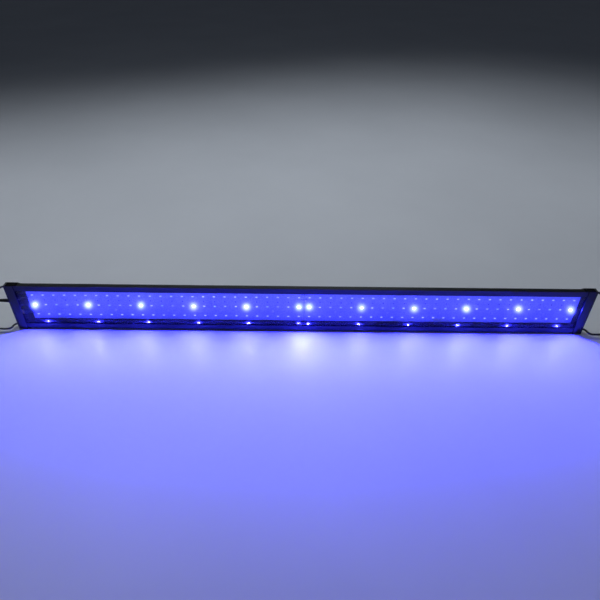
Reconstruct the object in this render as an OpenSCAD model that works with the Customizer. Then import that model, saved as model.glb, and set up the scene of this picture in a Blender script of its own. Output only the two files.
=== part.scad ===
// LED aquarium light: a slim bar with three rows of LEDs, standing on its long edge.
// +X runs along the bar, +Z is up, and the lit face looks along -Y. Sizes are in millimetres.
// The bar is drawn in lamp coordinates, where y = 0 is the lit face and y grows into the bar;
// to_frame() then moves it so that the object's box is centred on the origin.

/* [Housing] */
// Length over both end caps
overall_l = 1168; // [1160:1:1200]
// Width over the end caps, which stand on the floor
overall_w = 108; // [106:1:112]
// Depth of the housing from the lit face to the tips of the fins
housing_d = 18; // [18:0.5:20]
// Depth of the flat sides, in front of the bevelled back edges
side_d = 11; // [10.5:0.5:13]
// Thickness of the walls of the profile
wall = 1.4; // [1.2:0.1:1.5]
// Half the width of the opening in the lit face
opening_half = 40.5; // [39:0.5:41]
// Distance between one fin and the next
fin_pitch = 6.4; // [5.6:0.2:8]

/* [End caps] */
// Thickness of the sleeve that stands proud of the housing
cap_wall = 1.5; // [1.2:0.1:2]
// Thickness of the end wall
cap_end = 4; // [3:0.5:5]
// Length of the sleeve along the top, the bottom and the back
cap_l = 24; // [20:1:30]
// Length of the band across the lit face
band_l = 18; // [14:1:20]

/* [LEDs] */
// Distance from one column of LEDs to the next
led_pitch = 21.4; // [20.6:0.1:21.4]
// How far the LEDs lie from the middle, away from the end with the lead
grid_x = 5; // [0:1:6]
// Columns of LEDs on each board
board_columns = 26; // [24:1:26]
// Distance from one row of LEDs to the next
row_pitch = 24.1; // [22:0.1:26]
// Columns from one blue LED to the next
blue_every = 5; // [4:1:6]
// Length of an LED package, along the bar
led_l = 5.7; // [5:0.1:6]
// Width of an LED package
led_w = 3.0; // [2.6:0.1:3.4]
// Height of an LED package above its board
led_h = 0.9; // [0.7:0.1:1.2]

/* [Brackets] */
// Radius of the bracket's wire
wire_r = 2; // [1.8:0.1:2.2]
// Radial clearance of the wire in the cap's bores
wire_gap = 0.05; // [0.03:0.01:0.09]
// Length of each arm inside the lamp, with the bracket pushed in
arm_in = 110; // [90:5:120]
// How far the foot drops below the arms, towards the lit face
foot_drop = 18; // [14:1:24]
// Reach from the end of the arm to the crossbar
foot_l = 48; // [42:1:52]
// Radius of the rubber sleeve on the crossbar
sleeve_r = 4; // [3.5:0.5:4.5]

/* [Switch] */
// Height of the switch's centre above the floor
switch_z = 38; // [34:1:42]
// Tilt of the rocker to each side of its middle position
rocker_tilt = 10; // [8:1:10]

/* [Cord] */
// Diameter of the round DC lead
cord_d = 5; // [4.6:0.1:5]
// Height of the lead's exit above the floor
cord_z = 66; // [62:1:70]

/* [Hidden] */
$fn = 48;

// Places across the profile
mid_z = overall_w / 2;
housing_w = overall_w - 2 * cap_wall;
housing_half_w = housing_w / 2;
bevel = housing_d - side_d;
cap_half_l = overall_l / 2;
housing_half_l = cap_half_l - cap_end;
lip = 1.2;                          // flange in front of the splash guard
guard_t = 2;
groove_d = guard_t + 0.1;
groove_half = opening_half + 1.8;
channel_d = 12;
seat_d = 13.4;                      // depth of the boards' seat
seat_t = 1.6;
flare = 0.391;                      // how far the inner walls close in for each mm of depth
fin_w = 3.2;
fin_half = 44;                      // the fins cover the back up to here, from the middle
boss_z = 25;                        // the cap screws' bosses, from the middle
boss_d = 15.7;
boss_w = 7;
screw_r = 1.4;
screw_l = 24;
screw_head_r = 2.8;
cross_cut = [3.2, 0.6, 0.7];        // a screw's cross recess: span, width and depth

// Boards
board_l = board_columns * led_pitch;
board_half_w = 35;
board_t = 1.6;
pad_t = 0.3;
board_gap = 0.6;
board_face = seat_d - pad_t - board_t;
board_screw_every = 5;
board_screw_head = [2.7, 1.5];      // radius and height
resistor_size = [1.6, 0.55, 3.2];

// Brackets
arm_z = 47;                         // each arm, from the middle
arm_d = 7.5;
arm_out = 2;                        // straight length outside the cap
arm_end = cap_half_l + arm_out;
bend_r = foot_drop / 2;             // two quarter bends make up the whole drop
corner_r = 8;
boss_l = 12;                        // guide boss inside the cap
guide_r = 4;
crossbar_x = arm_end + foot_l;
sleeve_half = 34;

// Switch
bezel_size = [2, 10.6, 15.6];
switch_body = [12, 8.6, 13.6];
switch_d = 7.8;
rocker_well = [5.5, 6.6, 11.6];
rocker_w = 6;
rocker_half = 5.2;
pivot_in = 2;                       // the pivot lies this far behind the bezel's face
pivot_r = 0.8;
pivot_gap = 0.05;
pivot_l = 7.8;
terminal_size = [6, 0.6, 2.4];

// Cord
cord_r = cord_d / 2;
cord_y = 8;
relief_l = 22;
relief_r = 4;
relief_hole_r = 3.2;
relief_flange = [4.8, 3];           // radius and length
relief_grip = 6;                    // the relief holds the lead over this length

// The object's box runs from the sleeves' front to the caps' back
box_front = arm_d - foot_drop - sleeve_r;
box_back = housing_d + cap_wall;
lamp_y = -(box_front + box_back) / 2;

// Hank: two round ends with a pinched waist between them
hank_x = -732;                      // centre of the end nearer the lamp
hank_run = 85;                      // from one end's centre to the other's
hank_end_r = 23.3;
flank_half = 22.3;                  // half the width where the flanks run into a round end
hank_h = 15;
waist_half = 10.5;
tie_t = 1.2;
tie_l = 8;

// Connector, lying beside the hank
connector_x = -791;
connector_y = -28.5;
connector_r = 5;
connector_neck = 12;
connector_grip = 24;
barrel_l = 9.5;
barrel_r = 2.75;
barrel_bore_r = 1.05;

// The lead's route from the strain relief to the top of the hank, in the object's frame
CORD_ROUTE = [
  [-606, 5.5, 66], [-618, 5.5, 66], [-630, 5.6, 65.4], [-641, 6, 63.2], [-651, 6.6, 59.2], [-660, 7.4, 53.4],
  [-668, 8.4, 46.4], [-675.5, 9.6, 38.8], [-683.5, 11, 31.2], [-692.5, 12.6, 24.4], [-702.5, 14.4, 18.8],
  [-713, 16.4, 14.8], [-724, 17.9, 12.6]
];
// The tail from the hank to the connector
TAIL_ROUTE = [[-815, -20.8, 7.4], [-808, -21.9, 6.8], [-801, -24.5, 5.6], [-795, -27, 5.1], [-790, -28.5, 5]];

// Moves lamp coordinates into the object's frame
module to_frame() {
  translate([0, lamp_y, 0]) children();
}

// Extrudes an outline, drawn as [depth, height from the middle], along X about the middle
module along_x(l) {
  translate([0, 0, mid_z]) rotate([90, 0, 90]) linear_extrude(l, center = true) children();
}

// A box from its lowest corner and its size
module slab(corner, size) {
  translate(corner) cube(size);
}

// A cylinder along +X from a point
module rod_x(from, l, r) {
  translate(from) rotate([0, 90, 0]) cylinder(h = l, r = r);
}

// The right end's shapes, or the left end's as their mirror image
module at_end(side) {
  if (side > 0) children();
  else mirror([1, 0, 0]) children();
}

// Outline of the housing, grown by a margin: flat lit face and sides, bevelled back edges
function housing_outline(margin) =
  let (h = housing_half_w + margin, c = bevel + margin * 0.414)
  [
    [-margin, -h], [housing_d + margin - c, -h], [housing_d + margin, -h + c],
    [housing_d + margin, h - c], [housing_d + margin - c, h], [-margin, h]
  ];

// Half the width between the flared walls at a depth
function flare_half(d) = opening_half - flare * d;

// One channel for a bracket's arm, on the upper side
module channel_outline() {
  side = housing_half_w - wall;
  groove = lip + groove_d + wall;
  corner = side_d + housing_half_w - wall * sqrt(2);  // depth plus height along the bevelled wall
  polygon([
    [wall, side], [wall, groove_half + wall], [groove, groove_half + wall], [groove, flare_half(groove) + wall],
    [channel_d, flare_half(channel_d) + wall], [channel_d, corner - channel_d], [corner - side, side]
  ]);
}

// The space for the light: opening, groove for the guard, flared walls and the boards' seat
module light_space_outline() {
  groove = lip + groove_d;
  polygon([
    [-1, -opening_half], [-1, opening_half], [lip, opening_half], [lip, groove_half], [groove, groove_half],
    [groove, flare_half(groove)], [seat_d, flare_half(seat_d)], [seat_d, -flare_half(seat_d)],
    [groove, -flare_half(groove)], [groove, -groove_half], [lip, -groove_half], [lip, -opening_half]
  ]);
}

// The gaps between the cooling fins, without those that would cut a screw's boss
module fin_gaps() {
  gap_w = fin_pitch - fin_w;
  for (z = [-fin_half : fin_pitch : fin_half - gap_w])
    if (abs(abs(z + gap_w / 2) - boss_z) > (boss_w + gap_w) / 2)
      translate([seat_d + seat_t, z]) square([housing_d, gap_w]);
}

module housing_extrusion() {
  color("#17181a") to_frame() difference() {
    along_x(2 * housing_half_l) difference() {
      polygon(housing_outline(0));
      light_space_outline();
      channel_outline();
      mirror([0, 1]) channel_outline();
      fin_gaps();
    }
    for (side = [-1, 1], z = [-boss_z, boss_z])
      rod_x([side * (housing_half_l - screw_l / 2 + 0.5) - screw_l / 2, boss_d, mid_z + z], screw_l, screw_r);
    board_screw_shafts();
  }
}

// An end cap, drawn at the right end: a sleeve with an end wall, and a guide boss for each arm
module end_cap(side) {
  outer = cap_half_l - cap_l;
  difference() {
    union() {
      difference() {
        translate([cap_half_l - cap_l / 2, 0, 0]) along_x(cap_l) polygon(housing_outline(cap_wall));
        translate([housing_half_l - cap_l / 2, 0, 0]) along_x(cap_l) polygon(housing_outline(0));
        slab([outer - 1, -cap_wall - 1, -1], [cap_l - band_l + 1, cap_wall + 1, overall_w + 2]);
      }
      for (z = [-arm_z, arm_z])
        rod_x([housing_half_l - boss_l, arm_d, mid_z + z], boss_l + 1, guide_r);
    }
    for (z = [-arm_z, arm_z])
      rod_x([housing_half_l - boss_l - 1, arm_d, mid_z + z], boss_l + cap_end + 2, wire_r + wire_gap);
    for (z = [-boss_z, boss_z]) {
      rod_x([housing_half_l - 1, boss_d, mid_z + z], cap_end + 2, screw_r);
      translate([cap_half_l - (screw_head_r - screw_r), boss_d, mid_z + z])
        rotate([0, 90, 0]) cylinder(h = screw_head_r - screw_r + 0.001, r1 = screw_r, r2 = screw_head_r);
    }
    if (side < 0) {
      slab([housing_half_l - 1, switch_d - switch_body.y / 2, switch_z - switch_body.z / 2],
           [cap_end + 2, switch_body.y, switch_body.z]);
      rod_x([housing_half_l - 1, cord_y, cord_z], cap_end + 2, relief_hole_r);
    }
  }
}

module end_cap_left() {
  color("#101113") to_frame() at_end(-1) end_cap(-1);
}

module end_cap_right() {
  color("#101113") to_frame() at_end(1) end_cap(1);
}

// A screw's cross recess, sunk into a head whose face lies at z = top
module cross_recess(top = 0) {
  for (turn = [0, 90])
    rotate([0, 0, turn]) translate([-cross_cut.x / 2, -cross_cut.y / 2, top - 0.5])
      cube([cross_cut.x, cross_cut.y, cross_cut.z + 0.5]);
}

// The two countersunk screws of one cap, drawn at the right end
module end_cap_screws() {
  head_l = screw_head_r - screw_r;
  for (z = [-boss_z, boss_z])
    translate([cap_half_l, boss_d, mid_z + z]) rotate([0, -90, 0]) difference() {
      union() {
        cylinder(h = head_l, r1 = screw_head_r, r2 = screw_r);
        translate([0, 0, head_l - 0.01]) cylinder(h = cap_end + screw_l / 2 - head_l, r = screw_r);
      }
      cross_recess();
    }
}

module end_cap_screws_left() {
  color("silver") to_frame() at_end(-1) end_cap_screws();
}

module end_cap_screws_right() {
  color("silver") to_frame() at_end(1) end_cap_screws();
}

module splash_guard() {
  half_w = groove_half - 0.1;
  color("#c8dcff", 0.3) to_frame()
    slab([-housing_half_l + 1, lip, mid_z - half_w], [2 * housing_half_l - 2, guard_t, 2 * half_w]);
}

// A flat layer under one half of the LEDs, with the board screws' holes
module board_layer(side, depth, t) {
  difference() {
    slab([grid_x + (side > 0 ? board_gap / 2 : -board_l), depth, mid_z - board_half_w],
         [board_l - board_gap / 2, t, 2 * board_half_w]);
    board_screw_shafts();
  }
}

module thermal_pad_left() {
  color("#8d9aa6") to_frame() board_layer(-1, seat_d - pad_t, pad_t);
}

module thermal_pad_right() {
  color("#8d9aa6") to_frame() board_layer(1, seat_d - pad_t, pad_t);
}

module led_board_left() {
  color("#f2f3f5") to_frame() board_layer(-1, board_face, board_t);
}

module led_board_right() {
  color("#f2f3f5") to_frame() board_layer(1, board_face, board_t);
}

// Where the board screws stand: midway between columns, between the middle and lower rows
module at_board_screws() {
  z = mid_z - row_pitch / 2;
  for (side = [-1, 1], i = [3 : board_screw_every : board_columns - 2])
    translate([grid_x + side * i * led_pitch, board_face, z]) rotate([-90, 0, 0]) children();
}

module board_screw_shafts() {
  at_board_screws() cylinder(h = seat_d + seat_t - board_face, r = screw_r);
}

module board_screws() {
  head_h = board_screw_head[1];
  color("silver") to_frame() at_board_screws() difference() {
    union() {
      translate([0, 0, -head_h]) cylinder(h = head_h, r = board_screw_head[0]);
      cylinder(h = seat_d + seat_t - board_face, r = screw_r);
    }
    cross_recess(-head_h);
  }
}

// Place of an LED from its column, counted from the middle of the lamp, and its row: -1, 0 or 1
function led_x(column) = grid_x + (column - board_columns + 0.5) * led_pitch;
function led_z(row) = mid_z - row * row_pitch;

// A column's place within its own board, counted from that board's inner end
function from_middle(column) =
  column < board_columns ? board_columns - 1 - column : column - board_columns;

// The middle row repeats blue, two daylight, red and green; the other rows are all daylight
function led_kind(column, row) =
  let (step = from_middle(column) % blue_every)
  row != 0 ? "daylight" : step == 0 ? "blue" : step == 2 ? "red" : step == 3 ? "green" : "daylight";

module led_package() {
  translate([-led_l / 2, -led_h, -led_w / 2]) cube([led_l, led_h, led_w]);
}

module leds_of(kind) {
  to_frame() for (column = [0 : 2 * board_columns - 1], row = [-1, 0, 1])
    if (led_kind(column, row) == kind)
      translate([led_x(column), board_face, led_z(row)]) led_package();
}

module daylight_leds() {
  color("#f5e27a") leds_of("daylight");
}

module red_leds() {
  color("#e8b0a8") leds_of("red");
}

module green_leds() {
  color("#b8dcb8") leds_of("green");
}

module blue_leds() {
  color("#2a4cff") leds_of("blue");
}

// One resistor for each column, between the upper and middle rows
module board_resistors() {
  color("#202020") to_frame() for (column = [0 : 2 * board_columns - 1])
    translate([led_x(column), board_face, mid_z + row_pitch / 2])
      translate([-resistor_size.x / 2, -resistor_size.y, -resistor_size.z / 2]) cube(resistor_size);
}

// A tube of a radius along a route, as rings whose first direction leans towards a side vector
module tube(route, r, sides, side_axis) {
  last = len(route) - 1;
  unit = function(v) v / norm(v);
  rings = [
    for (i = [0 : last])
      let (
        t = unit(route[min(i + 1, last)] - route[max(i - 1, 0)]),
        u = unit(side_axis - t * (side_axis * t)),
        w = cross(t, u)
      )
      for (k = [0 : sides - 1]) route[i] + r * (cos(360 * k / sides) * u + sin(360 * k / sides) * w)
  ];
  walls = [
    for (i = [0 : last - 1], k = [0 : sides - 1])
      let (a = i * sides + k, b = i * sides + (k + 1) % sides)
      [a, a + sides, b + sides, b]
  ];
  start = [for (k = [0 : sides - 1]) k];
  end = [for (k = [sides - 1 : -1 : 0]) last * sides + k];
  polyhedron(points = rings, faces = concat([start], walls, [end]));
}

// Three short jumpers that arch low over the gap between the boards
module board_link_wires() {
  r = 0.7;
  arch_r = 10;
  half_turn = 30;
  color("#e4e4e6") to_frame() for (z = [-30, 18, 30])
    translate([grid_x, board_face + (arch_r - r) * cos(half_turn), mid_z + z])
      rotate([0, 0, 270 - half_turn]) rotate_extrude(angle = 2 * half_turn) translate([arch_r, 0]) circle(r = r);
}

// Wires from the lead and the switch to the left board's pads
module supply_wires() {
  r = 0.9;
  pad_x = grid_x - board_l + 3;
  in_x = -housing_half_l + 1;
  back_x = -cap_half_l + switch_body.x + terminal_size.x;
  low = board_face - r;
  color("#141415") to_frame() {
    tube([[in_x, cord_y, cord_z + 1.1], [in_x + 9, cord_y, cord_z + 1.6], [in_x + 18, low, cord_z + 4],
          [in_x + 26, low, cord_z + 6], [pad_x, low, cord_z + 7]], r, 8, [0, 0, 1]);
    for (wire = [-1, 0, 1])
      tube([[back_x, switch_d, switch_z + 4 * wire], [back_x + 1, switch_d, switch_z + 4 * wire],
            [back_x + 4, switch_d + 0.4, switch_z + 4.2 * wire],
            [back_x + 9, low, switch_z + 4.6 * wire], [pad_x, low, switch_z + 5 * wire]], r, 8, [0, 0, 1]);
  }
}

module switch_bezel() {
  face_x = -cap_half_l - bezel_size.x;
  color("#0b0b0c") to_frame() difference() {
    union() {
      slab([face_x, switch_d - bezel_size.y / 2, switch_z - bezel_size.z / 2], bezel_size);
      slab([-cap_half_l - 0.01, switch_d - switch_body.y / 2, switch_z - switch_body.z / 2], switch_body);
    }
    slab([face_x - 1, switch_d - rocker_well.y / 2, switch_z - rocker_well.z / 2],
         [rocker_well.x + 1, rocker_well.y, rocker_well.z]);
    translate([face_x + pivot_in, switch_d + pivot_l / 2 + 0.1, switch_z])
      rotate([90, 0, 0]) cylinder(h = pivot_l + 0.2, r = pivot_r + pivot_gap);
  }
}

// The rocker at night: pressed in at its lower end, turned about the pivot by its full tilt
module switch_rocker() {
  color("#1c1c1e") to_frame()
    translate([-cap_half_l - bezel_size.x + pivot_in, switch_d, switch_z]) rotate([0, -rocker_tilt, 0])
      rotate([90, 0, 0]) {
        linear_extrude(rocker_w, center = true)
          polygon([[1.4, -2.6], [1.4, 2.6], [-1.2, rocker_half], [-2.8, rocker_half], [-1.9, 0],
                   [-2.8, -rocker_half], [-1.2, -rocker_half]]);
        cylinder(h = pivot_l, r = pivot_r, center = true);
      }
}

module switch_terminals() {
  color("#d8c890") to_frame() for (z = [-4, 0, 4])
    slab([-cap_half_l + switch_body.x, switch_d - terminal_size.y / 2, switch_z + z - terminal_size.z / 2],
         terminal_size);
}

// A bracket's half of the wire, from its inner end to the middle of the crossbar, on the lower side
module bracket_half() {
  foot_x = arm_end + 2 * bend_r;
  foot_end = crossbar_x - corner_r;
  rod_x([cap_half_l - arm_in, 0, 0], arm_in + arm_out, wire_r);
  translate([arm_end, -bend_r, 0]) rotate_extrude(angle = 90) translate([bend_r, 0]) circle(r = wire_r);
  translate([foot_x, -bend_r, 0])
    rotate([0, 0, 180]) rotate_extrude(angle = 90) translate([bend_r, 0]) circle(r = wire_r);
  rod_x([foot_x, -foot_drop, 0], foot_end - foot_x, wire_r);
  translate([foot_end, -foot_drop, corner_r])
    rotate([90, 0, 0]) rotate([0, 0, -90]) rotate_extrude(angle = 90) translate([corner_r, 0]) circle(r = wire_r);
  translate([crossbar_x, -foot_drop, corner_r]) cylinder(h = arm_z - corner_r, r = wire_r);
}

module bracket() {
  translate([0, arm_d, mid_z]) {
    translate([0, 0, -arm_z]) bracket_half();
    mirror([0, 0, 1]) translate([0, 0, -arm_z]) bracket_half();
  }
}

module bracket_left() {
  color("#1e1f22") to_frame() at_end(-1) bracket();
}

module bracket_right() {
  color("#1e1f22") to_frame() at_end(1) bracket();
}

module rim_sleeve() {
  translate([crossbar_x, arm_d - foot_drop, mid_z]) difference() {
    cylinder(h = 2 * sleeve_half, r = sleeve_r, center = true);
    cylinder(h = 2 * sleeve_half + 2, r = wire_r, center = true);
  }
}

module rim_sleeve_left() {
  color("#262626") to_frame() at_end(-1) rim_sleeve();
}

module rim_sleeve_right() {
  color("#262626") to_frame() at_end(1) rim_sleeve();
}

// A tapered grommet that grips the lead in the cap's end wall
module cord_strain_relief() {
  in_l = cap_end;
  color("#0c0c0d") to_frame() translate([-cap_half_l, cord_y, cord_z]) rotate([0, -90, 0]) difference() {
    union() {
      translate([0, 0, -in_l]) cylinder(h = in_l + 0.01, r = relief_hole_r);
      cylinder(h = relief_flange[1], r = relief_flange[0]);
      translate([0, 0, relief_flange[1] - 0.01])
        cylinder(h = relief_l - relief_flange[1], r1 = relief_r, r2 = cord_r + 0.5);
    }
    translate([0, 0, relief_l - relief_grip]) cylinder(h = relief_grip + 1, r = cord_r);
  }
}

module cord_run() {
  color("#0d0d0e") {
    tube(CORD_ROUTE, cord_r, 10, [0, 1, 0]);
    tube(TAIL_ROUTE, cord_r, 10, [0, 0, 1]);
  }
}

// Half the width of the hank at a distance from its waist, between the round ends
function hank_half(x) =
  let (t = min(1, abs(x) / (hank_run / 2)))
  waist_half + (flank_half - waist_half) * t * t * (3 - 2 * t);

// The two flanks and the waist between the round ends
module hank_flanks() {
  steps = 12;
  span = hank_run / 2;
  xs = [for (i = [-steps : steps]) span * i / steps];
  polygon(concat([for (x = xs) [x, hank_half(x)]], [for (i = [2 * steps : -1 : 0]) [xs[i], -hank_half(xs[i])]]));
}

// The folded lead, with the groove that the tie pulls into its underside
module cord_hank() {
  color("#0d0d0e") translate([hank_x - hank_run / 2, 0, 0]) difference() {
    union() {
      linear_extrude(hank_h) hank_flanks();
      for (side = [-1, 1])
        translate([side * hank_run / 2, 0, 0]) cylinder(h = hank_h, r = hank_end_r);
    }
    slab([-tie_l / 2, -hank_end_r, -1], [tie_l, 2 * hank_end_r, 1 + tie_t]);
    for (side = [-1, 1])
      slab([-tie_l / 2, side * waist_half - (side > 0 ? 0 : 5), -1], [tie_l, 5, hank_h + 2]);
  }
}

module cord_tie() {
  half = waist_half + tie_t;
  color("#e8e8e8") translate([hank_x - hank_run / 2 - tie_l / 2, 0, 0]) difference() {
    slab([0, -half, 0], [tie_l, 2 * half, hank_h + tie_t]);
    slab([-1, -waist_half, tie_t], [tie_l + 2, 2 * waist_half, hank_h - tie_t]);
  }
}

module connector_body() {
  color("#101012") translate([connector_x, connector_y, connector_r]) rotate([0, 90, 0]) {
    cylinder(h = connector_neck, r1 = cord_r + 0.5, r2 = connector_r);
    translate([0, 0, connector_neck - 0.01]) cylinder(h = connector_grip, r = connector_r);
  }
}

module connector_barrel() {
  color("#c9ccd0") translate([connector_x + connector_neck + connector_grip, connector_y, connector_r])
    rotate([0, 90, 0]) difference() {
      translate([0, 0, -0.01]) cylinder(h = barrel_l + 0.01, r = barrel_r);
      translate([0, 0, 0.5]) cylinder(h = barrel_l, r = barrel_bore_r);
    }
}

housing_extrusion();
end_cap_left();
end_cap_right();
end_cap_screws_left();
end_cap_screws_right();
splash_guard();
thermal_pad_left();
thermal_pad_right();
led_board_left();
led_board_right();
daylight_leds();
red_leds();
green_leds();
blue_leds();
board_resistors();
board_screws();
board_link_wires();
supply_wires();
switch_bezel();
switch_rocker();
switch_terminals();
bracket_left();
bracket_right();
rim_sleeve_left();
rim_sleeve_right();
cord_strain_relief();
cord_run();
cord_hank();
cord_tie();
connector_body();
connector_barrel();
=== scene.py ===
"""LED aquarium light at night: the visual model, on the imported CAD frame.

Sizes and places on the lamp are in millimetres. Those of the camera, the studio lights and the floor are in
metres.
"""

import math

import bmesh
import bpy
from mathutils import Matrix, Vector


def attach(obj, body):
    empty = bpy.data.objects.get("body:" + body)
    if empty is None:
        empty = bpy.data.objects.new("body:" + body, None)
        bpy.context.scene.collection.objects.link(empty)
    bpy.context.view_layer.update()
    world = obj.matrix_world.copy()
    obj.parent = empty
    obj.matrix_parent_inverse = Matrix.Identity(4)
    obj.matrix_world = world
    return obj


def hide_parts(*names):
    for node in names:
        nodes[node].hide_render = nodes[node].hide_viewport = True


MM = 0.001

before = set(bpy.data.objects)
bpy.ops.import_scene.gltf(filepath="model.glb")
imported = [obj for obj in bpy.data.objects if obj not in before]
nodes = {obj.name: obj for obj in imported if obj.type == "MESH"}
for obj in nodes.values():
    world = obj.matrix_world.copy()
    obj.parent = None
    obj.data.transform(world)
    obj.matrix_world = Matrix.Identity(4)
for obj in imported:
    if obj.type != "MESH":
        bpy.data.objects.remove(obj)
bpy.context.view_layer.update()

# The lamp's own measures, in the object's frame
LED_PITCH, ROW_PITCH = 21.4, 24.1
COLUMNS, BLUE_EVERY = 26, 5             # columns on each board, and columns from one blue LED to the next
GRID_X, MID_Z = 5.0, 54.0               # the middle of the LEDs
BOARD_Y = 9.0                           # the boards' faces
CORD_R = 2.5

CAMERA_PLACE = (-0.0125, -0.842, 0.7074)
CAMERA_TURN = (53.248, -0.760, -0.032)  # degrees


def point(x, y, z):
    return Vector((x, y, z)) * MM


# ---------------------------------------------------------------- camera

camera = bpy.data.objects.new("camera", bpy.data.cameras.new("camera"))
bpy.context.scene.collection.objects.link(camera)
bpy.context.scene.camera = camera
camera.location = CAMERA_PLACE
camera.rotation_euler = [math.radians(a) for a in CAMERA_TURN]
camera.data.lens = 31.56
camera.data.sensor_width = 36.0
camera.data.clip_start = 0.01


# ---------------------------------------------------------------- mesh tools

def keep(obj, body, slot, *replaced):
    """Puts a new piece on a body and hides the CAD nodes it stands for. The finish's name, slot, is not used.
    """
    bpy.context.scene.collection.objects.link(obj)
    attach(obj, body)
    if replaced:
        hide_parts(*replaced)
    return obj


def mesh_object(name, bm, materials, smooth_angle=35):
    """An object from a bmesh, smooth except at its sharp edges."""
    bmesh.ops.recalc_face_normals(bm, faces=bm.faces)
    mesh = bpy.data.meshes.new(name)
    bm.to_mesh(mesh)
    bm.free()
    for material in materials:
        mesh.materials.append(material)
    mesh.shade_smooth()
    mesh.set_sharp_from_angle(angle=math.radians(smooth_angle))
    return bpy.data.objects.new(name, mesh)


def frame_axes(axis):
    """A unit vector along an axis, and two square to it."""
    along = Vector(axis).normalized()
    side = along.orthogonal() if abs(along.z) > 0.9 else along.cross(Vector((0, 0, 1)))
    side.normalize()
    return along, side, along.cross(side)


def ring(bm, centre, side, up, radius, segments):
    """Points round a centre, in the plane of two unit vectors."""
    angles = (2 * math.pi * k / segments for k in range(segments))
    return [bm.verts.new((centre + radius * (math.cos(a) * side + math.sin(a) * up)) * MM) for a in angles]


def skin(bm, rings, slot=0):
    """Faces from each ring of points to the next one. A ring of one point is a tip."""
    segments = max(len(points) for points in rings)
    for lower, upper in zip(rings, rings[1:]):
        for k in range(segments):
            n = (k + 1) % segments
            if len(lower) == 1:
                face = [lower[0], upper[n], upper[k]]
            elif len(upper) == 1:
                face = [lower[k], lower[n], upper[0]]
            else:
                face = [lower[k], lower[n], upper[n], upper[k]]
            bm.faces.new(face).material_index = slot


def lathe(bm, origin, axis, profile, segments=40, slot=0):
    """Turns a profile of (distance along the axis, radius) round the axis. A radius of 0 closes the end."""
    along, side, up = frame_axes(axis)
    rings = []
    for s, r in profile:
        centre = Vector(origin) + along * s
        rings.append(ring(bm, centre, side, up, r, segments) if r else [bm.verts.new(centre * MM)])
    skin(bm, rings, slot)


def slab(bm, low, high, slot=0):
    """A box between two corners."""
    xs, ys, zs = zip(low, high)
    verts = [bm.verts.new(point(x, y, z)) for x in xs for y in ys for z in zs]
    for face in ((0, 1, 3, 2), (4, 6, 7, 5), (0, 4, 5, 1), (2, 3, 7, 6), (0, 2, 6, 4), (1, 5, 7, 3)):
        bm.faces.new([verts[i] for i in face]).material_index = slot


def tube(bm, route, radius, segments):
    """A round wire along a route, closed at both ends."""
    route = [Vector(p) for p in route]
    last = len(route) - 1
    side = None
    rings = []
    for i, p in enumerate(route):
        along = (route[min(i + 1, last)] - route[max(i - 1, 0)]).normalized()
        if side is None:
            side = frame_axes(along)[1]
        side = (side - along * side.dot(along)).normalized()
        rings.append(ring(bm, p, side, along.cross(side), radius, segments))
    skin(bm, rings)
    bm.faces.new(rings[0])
    bm.faces.new(rings[-1][::-1])


def smoothed(points, steps):
    """Points along a Catmull-Rom curve through the given ones."""
    pts = [Vector(p) for p in points]
    pts = [2 * pts[0] - pts[1]] + pts + [2 * pts[-1] - pts[-2]]
    out = []
    for a, b, c, d in zip(pts, pts[1:], pts[2:], pts[3:]):
        for k in range(steps):
            t = k / steps
            out.append(0.5 * (2 * b + (c - a) * t + (2 * a - 5 * b + 4 * c - d) * t * t
                              + (3 * b - a - 3 * c + d) * t ** 3))
    return out + [pts[-2]]


def rounded(obj, width, angle=28):
    """Rounds the edges that are sharper than an angle."""
    bevel = obj.modifiers.new("rounded", "BEVEL")
    bevel.width = width * MM
    bevel.segments = 2
    bevel.limit_method = "ANGLE"
    bevel.angle_limit = math.radians(angle)
    return bevel


def softened(name, node, body, slot, material, width):
    """A copy of a CAD node with rounded edges, standing for it."""
    bm = bmesh.new()
    bm.from_mesh(nodes[node].data)
    bmesh.ops.remove_doubles(bm, verts=bm.verts, dist=2e-6)
    bmesh.ops.dissolve_limit(
        bm, angle_limit=math.radians(0.6), use_dissolve_boundaries=False, verts=bm.verts, edges=bm.edges)
    obj = mesh_object(name, bm, [material])
    rounded(obj, width).harden_normals = True
    return keep(obj, body, slot, node)


# ---------------------------------------------------------------- material tools

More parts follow.
